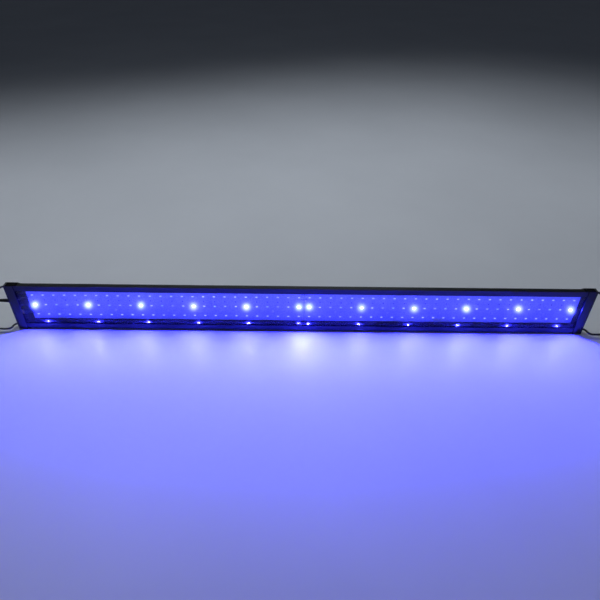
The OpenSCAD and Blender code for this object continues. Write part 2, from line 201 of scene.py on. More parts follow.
class Finish:
    """One material's nodes."""

    def __init__(self, name):
        self.material = bpy.data.materials.new(name)
        self.material.use_nodes = True
        self.tree = self.material.node_tree
        self.shader = self.tree.nodes["Principled BSDF"]
        self.place = self.add("ShaderNodeTexCoord").outputs["Object"]

    def add(self, kind, **settings):
        node = self.tree.nodes.new(kind)
        for key, value in settings.items():
            setattr(node, key, value)
        return node

    def plug(self, value, socket):
        """Links an output to a socket, or sets a plain value on it."""
        if isinstance(value, bpy.types.NodeSocket):
            self.tree.links.new(value, socket)
        else:
            socket.default_value = value

    def stretched(self, stretch):
        mapping = self.add("ShaderNodeMapping")
        mapping.inputs["Scale"].default_value = stretch
        self.plug(self.place, mapping.inputs["Vector"])
        return mapping.outputs["Vector"]

    def noise(self, size, detail=3.0, rough=0.55, stretch=None):
        """Smooth noise with features of a size in millimetres."""
        node = self.add("ShaderNodeTexNoise")
        self.plug(self.stretched(stretch) if stretch else self.place, node.inputs["Vector"])
        node.inputs["Scale"].default_value = 1.0 / (size * MM)
        node.inputs["Detail"].default_value = detail
        node.inputs["Roughness"].default_value = rough
        return node.outputs["Fac"]

    def cells(self, size):
        """Distance from the middle of each cell, of cells of a size in millimetres."""
        node = self.add("ShaderNodeTexVoronoi")
        self.plug(self.place, node.inputs["Vector"])
        node.inputs["Scale"].default_value = 1.0 / (size * MM)
        return node.outputs["Distance"]

    def spread(self, value, low, high, start=0.3, end=0.7):
        """Maps start..end of a pattern to low..high."""
        node = self.add("ShaderNodeMapRange", clamp=True)
        for socket, number in (("From Min", start), ("From Max", end), ("To Min", low), ("To Max", high)):
            node.inputs[socket].default_value = number
        self.plug(value, node.inputs["Value"])
        return node.outputs["Result"]

    def operate(self, operation, a, b):
        node = self.add("ShaderNodeMath", operation=operation)
        self.plug(a, node.inputs[0])
        self.plug(b, node.inputs[1])
        return node.outputs["Value"]

    def sum(self, a, b):
        return self.operate("ADD", a, b)

    def times(self, a, b):
        return self.operate("MULTIPLY", a, b)

    def less(self, a, b):
        return self.operate("SUBTRACT", a, b)

    def unsigned(self, a):
        """A value without its sign."""
        return self.operate("ABSOLUTE", a, 0.0)

    def mix(self, share, a, b):
        node = self.add("ShaderNodeMix", data_type="RGBA")
        self.plug(share, node.inputs["Factor"])
        self.plug(a if isinstance(a, bpy.types.NodeSocket) else (*a, 1.0), node.inputs["A"])
        self.plug(b if isinstance(b, bpy.types.NodeSocket) else (*b, 1.0), node.inputs["B"])
        return node.outputs["Result"]

    def split(self):
        """The object's X, Y and Z, in metres."""
        node = self.add("ShaderNodeSeparateXYZ")
        self.plug(self.place, node.inputs["Vector"])
        return node.outputs

    def relief(self, height, depth):
        """Bump of a depth in millimetres."""
        node = self.add("ShaderNodeBump")
        node.inputs["Distance"].default_value = depth * MM
        self.plug(height, node.inputs["Height"])
        self.plug(node.outputs["Normal"], self.shader.inputs["Normal"])

    def set(self, **sockets):
        """Sets or links the shader's inputs, named with _ for a space."""
        for name, value in sockets.items():
            self.plug(value, self.shader.inputs[name.replace("_", " ")])


def finish_of(name, dark, light, rough, grain, depth, patch=30.0, metallic=0.0, specular=0.5):
    """A finish with broad tone variation, and grain that drives roughness and relief."""
    f = Finish(name)
    broad = f.noise(patch, 4.0)
    fine = f.noise(grain, 4.0, 0.6)
    f.set(Base_Color=f.mix(f.spread(broad, 0.0, 1.0), dark, light),
          Roughness=f.sum(f.spread(fine, *rough), f.spread(broad, -0.03, 0.03)),
          Metallic=metallic, Specular_IOR_Level=specular)
    f.relief(fine, depth)
    return f


# ---------------------------------------------------------------- materials

def anodised():
    """Black anodised extrusion: die lines along its length, and brighter, smoother inner walls."""
    f = Finish("anodised_black")
    lines = f.noise(0.55, 3.0, 0.6, (0.004, 1.0, 1.0))
    broad = f.noise(45.0, 4.0)
    dust = f.spread(f.noise(0.9, 2.0), 0.0, 1.0, 0.66, 0.74)
    tone = f.mix(f.spread(lines, 0.0, 1.0), (0.0060, 0.0062, 0.0068), (0.0135, 0.0138, 0.015))
    tone = f.mix(f.times(dust, 0.15), tone, (0.03, 0.031, 0.034))
    _, y, z = f.split()
    off_middle = f.unsigned(f.sum(z, -MID_Z * MM))
    between_flanges = f.spread(off_middle, 1.0, 0.0, 0.0409, 0.0411)
    inside = f.times(between_flanges, f.spread(y, 0.0, 1.0, -0.0010, -0.0008))
    rough = f.sum(f.spread(lines, 0.26, 0.42), f.spread(broad, -0.03, 0.05))
    rough = f.sum(rough, f.times(inside, -0.16))
    f.set(Base_Color=tone, Roughness=rough, Specular_IOR_Level=0.34,
          Coat_Weight=f.times(inside, 0.14), Coat_Roughness=0.05, Coat_IOR=1.75)
    f.relief(lines, 0.008)
    return f.material


def moulded(name, dark, light, rough=(0.42, 0.56), grain=0.55, depth=0.03, polished_x=0.0):
    """Spark-textured moulded plastic, polished on the side nearer the middle than a distance in metres."""
    f = finish_of(name, dark, light, rough, grain, depth, 18.0, specular=0.34)
    pits = f.spread(f.cells(0.7), 0.0, 1.0, 0.1, 0.5)
    spark = f.sum(pits, f.noise(0.35, 2.0))
    if polished_x:
        from_middle = f.unsigned(f.split()[0])
        face = f.spread(from_middle, 1.0, 0.0, polished_x + 0.0001, polished_x + 0.0003)
        grained = f.spread(f.noise(grain), *rough)
        f.set(Roughness=f.sum(grained, f.times(face, 0.10 - rough[0])))
        spark = f.times(spark, f.less(1.0, face))
    f.relief(spark, depth)
    return f.material


def solder_mask():
    """White solder mask: a slight orange peel, patches of a bluer white, and a few flux marks."""
    f = Finish("white_mask")
    peel = f.noise(1.1, 2.0)
    broad = f.noise(24.0, 4.0)
    flux = f.spread(f.noise(9.0, 3.0), 0.0, 1.0, 0.68, 0.80)
    tone = f.mix(f.spread(broad, 0.0, 1.0), (0.71, 0.73, 0.75), (0.80, 0.81, 0.82))
    tone = f.mix(f.spread(f.noise(2.4, 2.0), 0.0, 1.0, 0.42, 0.62), tone, (0.56, 0.59, 0.64))
    tone = f.mix(f.times(flux, 0.15), tone, (0.66, 0.65, 0.60))
    f.set(Base_Color=tone, Roughness=f.sum(f.spread(peel, 0.20, 0.30), f.times(flux, 0.15)),
          Coat_Weight=1.0, Coat_Roughness=0.03)
    f.relief(peel, 0.004)
    return f.material


def guard_clear():
    """Clear cover: lets light straight through, mirrors more at a slant, with faint smears and scratches."""
    f = Finish("guard_clear")
    f.tree.nodes.remove(f.shader)
    smear = f.noise(38.0, 4.0, 0.6, (0.6, 1.0, 1.0))
    hair = f.spread(f.noise(0.5, 2.0, 0.5, (0.03, 1.0, 1.0)), 0.0, 1.0, 0.66, 0.72)
    through = f.add("ShaderNodeBsdfTransparent")
    through.inputs["Color"].default_value = (0.95, 0.97, 1.0, 1.0)
    shine = f.add("ShaderNodeBsdfAnisotropic")
    f.plug(f.sum(f.spread(smear, 0.01, 0.045), f.times(hair, 0.08)), shine.inputs["Roughness"])
    fresnel = f.add("ShaderNodeFresnel")
    fresnel.inputs["IOR"].default_value = 1.49
    outer = f.less(1.0, f.add("ShaderNodeNewGeometry").outputs["Backfacing"])
    bump = f.add("ShaderNodeBump")
    bump.inputs["Distance"].default_value = 0.0012 * MM
    f.plug(smear, bump.inputs["Height"])
    f.plug(bump.outputs["Normal"], shine.inputs["Normal"])
    both = f.add("ShaderNodeMixShader")
    f.plug(f.times(fresnel.outputs["Fac"], outer), both.inputs["Fac"])
    f.plug(through.outputs["BSDF"], both.inputs[1])
    f.plug(shine.outputs["BSDF"], both.inputs[2])
    f.plug(both.outputs["Shader"], f.tree.nodes["Material Output"].inputs["Surface"])
    return f.material


def phosphor(name, dark, light, painted_glow, strength):
    """The silicone over an LED's dies: grainy, with a faint painted glow, an emission that stands in for the
    light of its blue neighbours.
    """
    f = finish_of(name, dark, light, (0.22, 0.4), 0.16, 0.02, 1.2)
    # Painted light: the emission paints the blue light of the lit neighbours onto this window.
    f.set(Emission_Color=(*painted_glow, 1.0), Emission_Strength=strength, Coat_Weight=0.5, Coat_Roughness=0.08)
    return f.material


def lit_blue(strength):
    """The window of a lit blue LED, glowing evenly."""
    f = finish_of("led_lit_blue", (0.05, 0.09, 0.8), (0.08, 0.13, 0.9), (0.2, 0.35), 0.2, 0.01, 1.0)
    f.set(Emission_Color=(0.042, 0.052, 1.0, 1.0), Emission_Strength=strength)
    return f.material


def sheath(name, dark, light):
    """Soft PVC, with faint grain and scuffs."""
    f = finish_of(name, dark, light, (0.34, 0.5), 0.8, 0.02, 14.0)
    scuff = f.spread(f.noise(3.2, 3.0), 0.0, 1.0, 0.64, 0.74)
    clean = f.mix(f.spread(f.noise(14.0), 0.0, 1.0), dark, light)
    f.set(Base_Color=f.mix(f.times(scuff, 0.3), clean, (0.05, 0.05, 0.052)))
    return f.material


ANODISED = anodised()
CAP_BLACK = moulded("cap_black", (0.0052, 0.0053, 0.0058), (0.0088, 0.0089, 0.0097), polished_x=0.5800)
SWITCH_BLACK = moulded(
    "switch_black", (0.007, 0.007, 0.0078), (0.011, 0.011, 0.012),
    rough=(0.3, 0.42), grain=0.4, depth=0.015)
STEEL = finish_of(
    "screw_steel", (0.42, 0.42, 0.43), (0.60, 0.60, 0.62),
    rough=(0.24, 0.42), grain=0.35, depth=0.01, patch=3.0, metallic=1.0).material
ZINC = finish_of(
    "screw_zinc", (0.66, 0.67, 0.68), (0.82, 0.83, 0.84),
    rough=(0.42, 0.6), grain=0.3, depth=0.01, patch=2.0, metallic=0.6).material
PAD_GREY = finish_of(
    "pad_silicone", (0.22, 0.27, 0.31), (0.29, 0.34, 0.38),
    rough=(0.6, 0.8), grain=0.8, depth=0.05).material
MASK = solder_mask()
TRACE = finish_of(
    "mask_over_copper", (0.60, 0.63, 0.66), (0.70, 0.73, 0.75),
    rough=(0.2, 0.32), grain=1.1, depth=0.006, patch=12.0).material
LED_BODY = finish_of(
    "led_body_white", (0.72, 0.72, 0.70), (0.82, 0.82, 0.80),
    rough=(0.4, 0.52), grain=0.3, depth=0.008, patch=2.0).material
LEAD_TIN = finish_of(
    "lead_tin", (0.55, 0.55, 0.56), (0.72, 0.72, 0.73),
    rough=(0.2, 0.4), grain=0.25, depth=0.02, patch=1.5, metallic=1.0).material
# The daylight, red and green windows are unlit; their emission is painted blue light from the lit blue LEDs.
DAY_WINDOW = phosphor("window_daylight", (0.78, 0.55, 0.10), (0.88, 0.68, 0.20), (0.44, 0.54, 1.0), 2.2)
RED_WINDOW = phosphor("window_red", (0.62, 0.52, 0.50), (0.72, 0.60, 0.57), (0.38, 0.46, 1.0), 1.5)
GREEN_WINDOW = phosphor("window_green", (0.55, 0.62, 0.55), (0.62, 0.72, 0.62), (0.36, 0.52, 1.0), 1.5)
BLUE_WINDOW = lit_blue(20000.0)
RESISTOR = finish_of(
    "resistor_black", (0.012, 0.012, 0.014), (0.022, 0.022, 0.025),
    rough=(0.3, 0.45), grain=0.3, depth=0.01, patch=2.0).material
WIRE_WHITE = sheath("wire_white", (0.62, 0.63, 0.64), (0.72, 0.72, 0.72))
WIRE_BLACK = sheath("wire_black", (0.010, 0.010, 0.011), (0.02, 0.02, 0.022))
BRASS = finish_of(
    "terminal_brass", (0.52, 0.38, 0.16), (0.68, 0.52, 0.25),
    rough=(0.25, 0.42), grain=0.4, depth=0.01, patch=4.0, metallic=1.0).material
COATED = finish_of(
    "powder_black", (0.012, 0.0125, 0.014), (0.021, 0.022, 0.024),
    rough=(0.32, 0.48), grain=0.6, depth=0.045, patch=16.0).material
RUBBER = finish_of(
    "sleeve_rubber", (0.016, 0.016, 0.0165), (0.028, 0.028, 0.029),
    rough=(0.62, 0.8), grain=0.5, depth=0.04, patch=9.0).material
CORD_BLACK = sheath("cord_pvc", (0.0085, 0.0085, 0.009), (0.017, 0.017, 0.018))
TIE_GREY = finish_of(
    "tie_weave", (0.30, 0.31, 0.33), (0.42, 0.43, 0.45),
    rough=(0.62, 0.8), grain=0.35, depth=0.08, patch=4.0).material
NICKEL = finish_of(
    "barrel_nickel", (0.60, 0.58, 0.55), (0.74, 0.72, 0.69),
    rough=(0.14, 0.28), grain=0.3, depth=0.004, patch=3.0, metallic=1.0).material
CONNECTOR = moulded(
    "connector_black", (0.009, 0.009, 0.0095), (0.014, 0.014, 0.015),
    rough=(0.34, 0.48), grain=0.35, depth=0.012)
INSULATOR = finish_of(
    "barrel_insulator", (0.55, 0.42, 0.05), (0.66, 0.52, 0.09),
    rough=(0.35, 0.5), grain=0.4, depth=0.01, patch=2.0).material
GUARD = guard_clear()
MARK_WHITE = finish_of(
    "mark_white", (0.62, 0.62, 0.62), (0.74, 0.74, 0.74),
    rough=(0.4, 0.55), grain=0.3, depth=0.01, patch=2.0).material


# ---------------------------------------------------------------- cord

CORD_START = (-600, 5.5, 66)
CORD_ROUTE = [
    (-606, 5.5, 66), (-618, 5.5, 66), (-630, 5.6, 65.4), (-641, 6, 63.2), (-651, 6.6, 59.2),
    (-660, 7.4, 53.4), (-668, 8.4, 46.4), (-675.5, 9.6, 38.8), (-683.5, 11, 31.2), (-692.5, 12.6, 24.4),
    (-702.5, 14.4, 18.8),
    (-713, 16.4, 14.8), (-724, 17.9, 12.6),
]
TAIL_ROUTE = [(-815, -20.8, 7.4), (-808, -21.9, 6.8), (-801, -24.5, 5.6), (-795, -27, 5.1), (-790, -28.5, 5)]
NEAR_X, FAR_X, WAIST_X = -732.0, -817.0, -774.5
STEP = 2 * CORD_R                       # from one turn or layer to the next
OUTER_R, INNER_R = 20.8, 20.8 - STEP
LOW_Z, HIGH_Z = CORD_R, CORD_R + STEP
PINCH, TIE_LIFT = 13.2, 1.1             # how far the tie pulls the runs in, and lifts them
CHANGE_LEAD = 20.0                      # the change to the next turn starts this far before the near end
HANK_STEPS = 12                         # stretches in each run and in each fold
FOLD_L = math.pi * (OUTER_R + INNER_R) / 2
CHANGE_L = 2 * CHANGE_LEAD + FOLD_L


def ease(t):
    t = min(1.0, max(0.0, t))
    return t * t * (3 - 2 * t)


def hank_turn(turn, t):
    """Radius and height of a turn, and of its change to the next one as t goes from 0 to 1."""
    first, middle, last = ease(3 * t), ease(3 * t - 1), ease(3 * t - 2)
    if turn == 0:
        swing = math.radians(60.4) * (1 - last)
        return OUTER_R - STEP * math.cos(swing), HIGH_Z + STEP * math.sin(swing) + 0.05
    if turn == 1:
        return INNER_R, HIGH_Z - STEP * last
    if turn == 2:
        return INNER_R + STEP * middle, LOW_Z
    if turn == 3:
        return OUTER_R, LOW_Z + STEP * first
    return OUTER_R, HIGH_Z


def change_at(x):
    """How far the change to the next turn has gone at a place on the run that leads into it."""
    return max(0.0, (x - NEAR_X + CHANGE_LEAD)) / CHANGE_L


def settled(turn, x):
    """The turn at a place on an outward run, and the rest of its change from the one before."""
    return (turn - 1, 1 - change_at(x)) if turn else (turn, 0.0)


def hank_run(turn, side, place):
    """One run between the folds, pulled in and lifted where the tie is."""
    out = []
    xs = [NEAR_X + (FAR_X - NEAR_X) * k / HANK_STEPS for k in range(1, HANK_STEPS)]
    for x in (xs if side > 0 else xs[::-1]):
        r, h = hank_turn(*place(turn, x))
        pull = 1 - ease(abs(x - WAIST_X) * 2 / (NEAR_X - FAR_X))
        sink = 0.63 if h > HIGH_Z + CORD_R else 0.045 if h > 6 else 0.0
        out.append((x, side * (r - PINCH * pull), h + (TIE_LIFT - sink) * pull))
    return out


def hank_fold(turn, x, side, place):
    """One half circle at an end, from side to side."""
    out = []
    for k in range(HANK_STEPS + 1):
        a = math.radians(180 * k / HANK_STEPS - 90 * side)
        r, h = hank_turn(*place(turn, k / HANK_STEPS))
        out.append((x + r * math.cos(a), r * math.sin(a), h))
    return out


def hank_route():
    """The folded lead: four turns from the top layer inwards, down, outwards and up, and half a turn more."""
    out = []
    for turn in range(5):
        out += hank_run(turn, 1, settled)
        out += hank_fold(turn, FAR_X, -1, lambda n, k: (n, 0.0))
        if turn < 4:
            out += hank_run(turn, -1, lambda n, x: (n, change_at(x)))
            out += hank_fold(turn, NEAR_X, 1, lambda n, k: (n, (CHANGE_LEAD + FOLD_L * k) / CHANGE_L))
    return out


def make_cord():
    points = [CORD_START] + CORD_ROUTE + hank_route()[:-1] + TAIL_ROUTE
    curve = bpy.data.curves.new("cord", "CURVE")
    curve.dimensions = "3D"
    curve.bevel_depth = CORD_R * MM
    curve.bevel_resolution = 5
    curve.resolution_u = 4
    curve.use_fill_caps = True
    spline = curve.splines.new("BEZIER")
    spline.bezier_points.add(len(points) - 1)
    for p, bezier in zip(points, spline.bezier_points):
        bezier.co = point(*p)
        bezier.handle_left_type = bezier.handle_right_type = "AUTO"
    curve.materials.append(CORD_BLACK)
    cord = bpy.data.objects.new("cord", curve)
    return keep(cord, "lamp", "cord_black", "cord_run", "cord_hank")


def make_relief():
    """A tapered grommet with a flange, and rings that let it bend."""
    profile = [(-4, 0), (-4, 3.2), (0, 3.2), (0, 4.5), (0.4, 4.8), (2.6, 4.8), (3.0, 4.4)]
    start, end, rib = 3.0, 22.0, 2.56
    s = start
    while s < end - 2.6:
        r = 4.0 - (s - start) / (end - start)
        profile += [(s + 0.01, r), (s + 1.55, r - 0.06), (s + 1.75, r - 0.75), (s + 2.35, r - 0.75)]
        profile.append((s + 2.55, r - 0.1))
        s += rib
    profile += [(end - 0.4, 3.0), (end, 2.75), (end, 2.5), (end - 6, 2.5), (end - 6, 0)]
    bm = bmesh.new()
    lathe(bm, (-584, 5.5, 66), (-1, 0, 0), profile, 40)
    return keep(mesh_object("strain_relief", bm, [CONNECTOR], 40), "lamp", "cord_black", "cord_strain_relief")


def make_tie():
    """A hook-and-loop strap round the waist of the hank, with its free end lapped over the top."""
    half, low, top, width, thick, corner_r = 10.5, 1.2, 15.0, 8.0, 1.15, 2.2
    x0 = WAIST_X - width / 2

    def outline(grow):
        pts = []
        for cy, cz, start in ((half, top, 0), (-half, top, 90), (-half, low, 180), (half, low, 270)):
            sy, sz = (-1 if cy > 0 else 1), (-1 if cz == top else 1)
            for k in range(7):
                a = math.radians(start + 90 * k / 6)
                pts.append((cy + sy * corner_r + (corner_r + grow) * math.cos(a),
                            cz + sz * corner_r + (corner_r + grow) * math.sin(a)))
        return pts

    bm = bmesh.new()
    columns = []
    for x, pull in ((x0, 0.28), (x0 + 0.35, 0.0), (x0 + width - 0.35, 0.0), (x0 + width, 0.28)):
        inner, outer = outline(min(pull, 0.2)), outline(thick - pull)
        columns.append([[bm.verts.new(point(x, *p)) for p in loop] for loop in (inner, outer)])
    n = len(columns[0][0])
    for (i0, o0), (i1, o1) in zip(columns, columns[1:]):
        for k in range(n):
            m = (k + 1) % n
            bm.faces.new([o0[k], o0[m], o1[m], o1[k]])
            bm.faces.new([i0[k], i1[k], i1[m], i0[m]])
    for i, o in (columns[0], columns[-1]):
        for k in range(n):
            m = (k + 1) % n
            bm.faces.new([i[k], i[m], o[m], o[k]])
    flap = [(-7.5, 16.1), (-6.9, 16.75), (0, 16.9), (5.2, 16.85), (6.6, 16.7), (7.0, 16.35), (7.0, 15.9),
            (-7.5, 15.9)]
    rings = [[bm.verts.new(point(x, y, z)) for y, z in flap] for x in (x0 + 0.3, x0 + width - 0.3)]
    for k in range(len(flap)):
        m = (k + 1) % len(flap)
        bm.faces.new([rings[0][k], rings[0][m], rings[1][m], rings[1][k]])
    bm.faces.new(rings[0])
    bm.faces.new(rings[1][::-1])
    return keep(mesh_object("tie", bm, [TIE_GREY], 40), "lamp", "tie_grey", "cord_tie")


GRIP_START, BARREL_START = (-791, -28.5, 5), (-755, -28.5, 5)


def make_connector():
    """The plug's grip, with a stepped neck and finger rings."""
    profile = [(0, 0), (0, 2.7), (0.3, 3.0)]
    for k in range(4):
        s = 1.2 + 2.4 * k
        r = 3.05 + 1.3 * (s / 12)
        profile += [(s, r), (s + 1.4, r + 0.12), (s + 1.55, r - 0.45), (s + 2.1, r - 0.4)]
        profile.append((s + 2.25, r + 0.15))
    profile += [(11.4, 4.6), (12.4, 5.0)]
    for k in range(6):
        s = 16 + 2.2 * k
        profile += [(s, 5.0), (s + 0.25, 4.62), (s + 0.95, 4.62), (s + 1.2, 5.0)]
    profile += [(35.3, 5.0), (36.0, 4.4), (36.0, 0)]
    bm = bmesh.new()
    lathe(bm, GRIP_START, (1, 0, 0), profile)
    return keep(mesh_object("plug_grip", bm, [CONNECTOR], 30), "lamp", "connector_black", "connector_body")


def make_barrel():
    """The nickel barrel, with its insulating tip and the sprung inner sleeve."""
    shell = [(-0.2, 2.75), (0.5, 2.75), (0.7, 2.62), (1.0, 2.62), (1.2, 2.75), (8.6, 2.75), (8.9, 2.6),
             (8.9, 2.05)]
    tip = [(8.9, 2.05), (9.2, 2.05), (9.5, 1.85), (9.5, 1.3), (9.1, 1.15)]
    sleeve = [(9.1, 1.15), (9.0, 1.05), (0.6, 1.05), (0.6, 0)]
    bm = bmesh.new()
    for profile, slot in ((shell, 0), (tip, 1), (sleeve, 0)):
        lathe(bm, BARREL_START, (1, 0, 0), profile, slot=slot)
    barrel = mesh_object("plug_barrel", bm, [NICKEL, INSULATOR], 30)
    return keep(barrel, "lamp", "barrel_nickel", "connector_barrel")


relief, tie, grip, barrel = make_relief(), make_tie(), make_connector(), make_barrel()
cord = make_cord()


# ---------------------------------------------------------------- LEDs

def led_x(column):
    return GRID_X + (column - COLUMNS + 0.5) * LED_PITCH


def led_kind(column, row):
    step = (COLUMNS - 1 - column if column < COLUMNS else column - COLUMNS) % BLUE_EVERY
    return "daylight" if row else {0: "blue", 2: "red", 3: "green"}.get(step, "daylight")


def clipped(half_x, half_z, cut):
    """An oblong outline with its corners cut."""
    right = [(half_x - cut, -half_z), (half_x, -half_z + cut), (half_x, half_z - cut), (half_x - cut, half_z)]
    return right + [(-x, z) for x, z in right[::-1]]


def led_package(bm, x, z):
    """A white package with a sunk window and tinned leads at its ends."""
    loops = [(0.0, 2.55, 1.5, 0.12), (-0.78, 2.5, 1.45, 0.14), (-0.9, 2.38, 1.33, 0.14),
             (-0.9, 2.12, 1.12, 0.42), (-0.62, 1.9, 0.92, 0.36)]
    rings = [[bm.verts.new(point(x + px, BOARD_Y + dy, z + pz)) for px, pz in clipped(hx, hz, cut)]
             for dy, hx, hz, cut in loops]
    skin(bm, rings)
    bm.faces.new(rings[-1]).material_index = 1
    for side in (-1, 1):
        inner, outer = sorted((x + side * 2.45, x + side * 2.85))
        for dz in (-0.75, 0.75):
            slab(bm, (inner, BOARD_Y - 0.26, z + dz - 0.5), (outer, BOARD_Y, z + dz + 0.5), 2)


def make_leds(kind, window):
    bm = bmesh.new()
    for column in range(2 * COLUMNS):
        for row in (-1, 0, 1):
            if led_kind(column, row) == kind:
                led_package(bm, led_x(column), MID_Z - row * ROW_PITCH)
    leds = mesh_object(f"leds_{kind}", bm, [LED_BODY, window, LEAD_TIN], 30)
    return keep(leds, "lamp", f"led_{kind}", f"{kind}_leds")


make_leds("daylight", DAY_WINDOW)
make_leds("red", RED_WINDOW)
make_leds("green", GREEN_WINDOW)
make_leds("blue", BLUE_WINDOW)


def make_resistors():
    """Chip resistors: a dark body between two tinned ends, each on its solder."""
    bm = bmesh.new()
    z = MID_Z + ROW_PITCH / 2
    for column in range(2 * COLUMNS):
        x = led_x(column)
        slab(bm, (x - 0.78, BOARD_Y - 0.52, z - 1.12), (x + 0.78, BOARD_Y - 0.04, z + 1.12), 0)
        for side in (-1, 1):
            low, high = sorted((z + side * 1.1, z + side * 1.6))
            slab(bm, (x - 0.8, BOARD_Y - 0.55, low), (x + 0.8, BOARD_Y, high), 1)
    resistors = mesh_object("resistors", bm, [RESISTOR, LEAD_TIN], 30)
    return keep(resistors, "lamp", "resistor_black", "board_resistors")


def make_traces():
    """Copper under the mask, slightly proud: bus lines along the boards and a string down each column."""
    bm = bmesh.new()
    top = BOARD_Y - 0.045

    def track(x0, x1, z0, z1):
        slab(bm, (x0, top, z0), (x1, BOARD_Y + 0.01, z1))

    for left, right in ((-549.0, 2.6), (7.4, 559.0)):
        for z, half in ((MID_Z + 32.2, 1.5), (MID_Z - 32.2, 1.5), (MID_Z - 8.2, 0.7), (MID_Z - 16.0, 0.7)):
            track(left, right, z - half, z + half)
    for column in range(2 * COLUMNS):
        x = led_x(column)
        for z0, z1 in ((26.0, 30.5), (13.9, 22.2), (1.7, 10.2), (-22.2, -1.7), (-30.5, -26.0)):
            middle = x - 2.6 if (column + int(z0)) % 2 else x + 2.6
            track(middle - 0.45, middle + 0.45, MID_Z + z0, MID_Z + z1)
        for row in (-1, 0, 1):
            for side in (-1, 1):
                x0, x1 = sorted((x + side * 2.2, x + side * 3.3))
                z = MID_Z - row * ROW_PITCH
                track(x0, x1, z - 1.7, z + 1.7)
    return keep(mesh_object("copper_tracks", bm, [TRACE], 30), "lamp", "board_white")


make_resistors()
make_traces()


# ---------------------------------------------------------------- wires inside

def solder(bm, x, z, profile):
    """A cone of solder on a board."""
    lathe(bm, (x, BOARD_Y + 0.01, z), (0, -1, 0), profile, 20, 1)


def make_supply_wires():
    """The lead's core and the switch's three wires, each soldered to its pad on the left board."""
    on_board, pad_x, switch_z = BOARD_Y - 0.95, -547.4, 38
    routes = [[(-579, 5.5, 67.1), (-570, 5.5, 67.6), (-562, on_board - 0.4, 70), (-554, on_board, 72),
               (pad_x - 1.2, on_board, 73)]]
    for wire in (-1, 0, 1):
        spread = ((-567, 5.3, 4), (-563.6, 5.7, 4.2), (-558.4, on_board, 4.6), (pad_x - 1.2, on_board, 5))
        routes.append([(x, y, switch_z + apart * wire) for x, y, apart in spread])
    bm = bmesh.new()
    for route in routes:
        tube(bm, smoothed(route, 5), 0.9, 14)
    for z in (73, 33, 38, 43):
        solder(bm, pad_x, z, [(0, 1.7), (0.25, 1.65), (0.8, 1.15), (1.25, 0.6), (1.4, 0)])
    wires = mesh_object("supply_leads", bm, [WIRE_BLACK, LEAD_TIN], 40)
    return keep(wires, "lamp", "wire_black", "supply_wires")


def make_link_wires():
    """White jumpers that arch low over the gap between the boards, with a solder cone at each foot."""
    foot, arch_r, drop = 5, 10, 9.3
    centre_y = BOARD_Y + drop * math.cos(math.radians(30))
    bm = bmesh.new()
    for z in (24.0, 72.0, 84.0):
        arch = [(GRID_X + arch_r * math.sin(a), centre_y - arch_r * math.cos(a), z)
                for a in (math.radians(-30 + 4 * k) for k in range(16))]
        tube(bm, arch, 0.7, 12)
        for side in (-1, 1):
            solder(bm, GRID_X + side * foot, z, [(0, 1.5), (0.2, 1.45), (0.7, 1.05), (1.2, 0.6), (1.35, 0)])
    jumpers = mesh_object("board_jumpers", bm, [WIRE_WHITE, LEAD_TIN], 40)
    return keep(jumpers, "lamp", "wire_white", "board_link_wires")


make_supply_wires()
make_link_wires()


# ---------------------------------------------------------------- housing, caps, switch

for node, material in (
    ("housing_extrusion", ANODISED), ("splash_guard", GUARD),
    ("thermal_pad_left", PAD_GREY), ("thermal_pad_right", PAD_GREY),
    ("led_board_left", MASK), ("led_board_right", MASK), ("board_screws", ZINC),
    ("end_cap_screws_left", STEEL), ("end_cap_screws_right", STEEL), ("switch_terminals", BRASS),
):
    for material_slot in nodes[node].material_slots:
        material_slot.material = material

softened("cap_left", "end_cap_left", "lamp", "cap_plastic", CAP_BLACK, 0.45)
softened("cap_right", "end_cap_right", "lamp", "cap_plastic", CAP_BLACK, 0.45)
softened("switch_frame", "switch_bezel", "lamp", "switch_black", SWITCH_BLACK, 0.3)
softened("rocker", "switch_rocker", "switch_rocker", "switch_black", SWITCH_BLACK, 0.22)


HINGE = (-584, 5.3, 38)


def crescent(circle):
    """The outline between a circle and a smaller one that bites into it."""
    outer = [(0.9 * a, 0.9 * b) for a, b in circle if a < 0.35]
    bite = [(0.28 + 0.68 * a, 0.68 * b) for a, b in circle if a < 0.02]
    return outer + bite[::-1]


def make_marks():
    """Generic printed marks on the rocker's two faces: a disc for day above, a crescent for night below."""
    circle = [(math.cos(math.radians(15 * k)), math.sin(math.radians(15 * k))) for k in range(24)]
    disc = [(0.85 * a, 0.85 * b) for a, b in circle]
    tilt = math.radians(10)             # the rocker's own, in its night position
    face_slope = (-0.1705, 0.9853)      # along a face, from the hinge outwards
    bm = bmesh.new()
    for outline, up in ((disc, 1), (crescent(circle), -1)):
        along = Vector((face_slope[0] * up, face_slope[1]))
        out = Vector((-face_slope[1], face_slope[0] * up))
        middle = Vector((-1.9, 0)) + 3.15 * up * along
        rings = []
        for height in (-0.04, 0.04):
            loop = []
            for a, b in outline:
                u, v = middle + b * along + height * out
                x, z = u * math.cos(tilt) - v * math.sin(tilt), u * math.sin(tilt) + v * math.cos(tilt)
                loop.append(bm.verts.new(point(HINGE[0] + x, HINGE[1] + a, HINGE[2] + z)))
            rings.append(loop)
        skin(bm, rings)
        bm.faces.new(rings[1])
        bm.faces.new(rings[0][::-1])
    return keep(mesh_object("rocker_marks", bm, [MARK_WHITE], 20), "switch_rocker", "board_white")


make_marks()


# ---------------------------------------------------------------- brackets

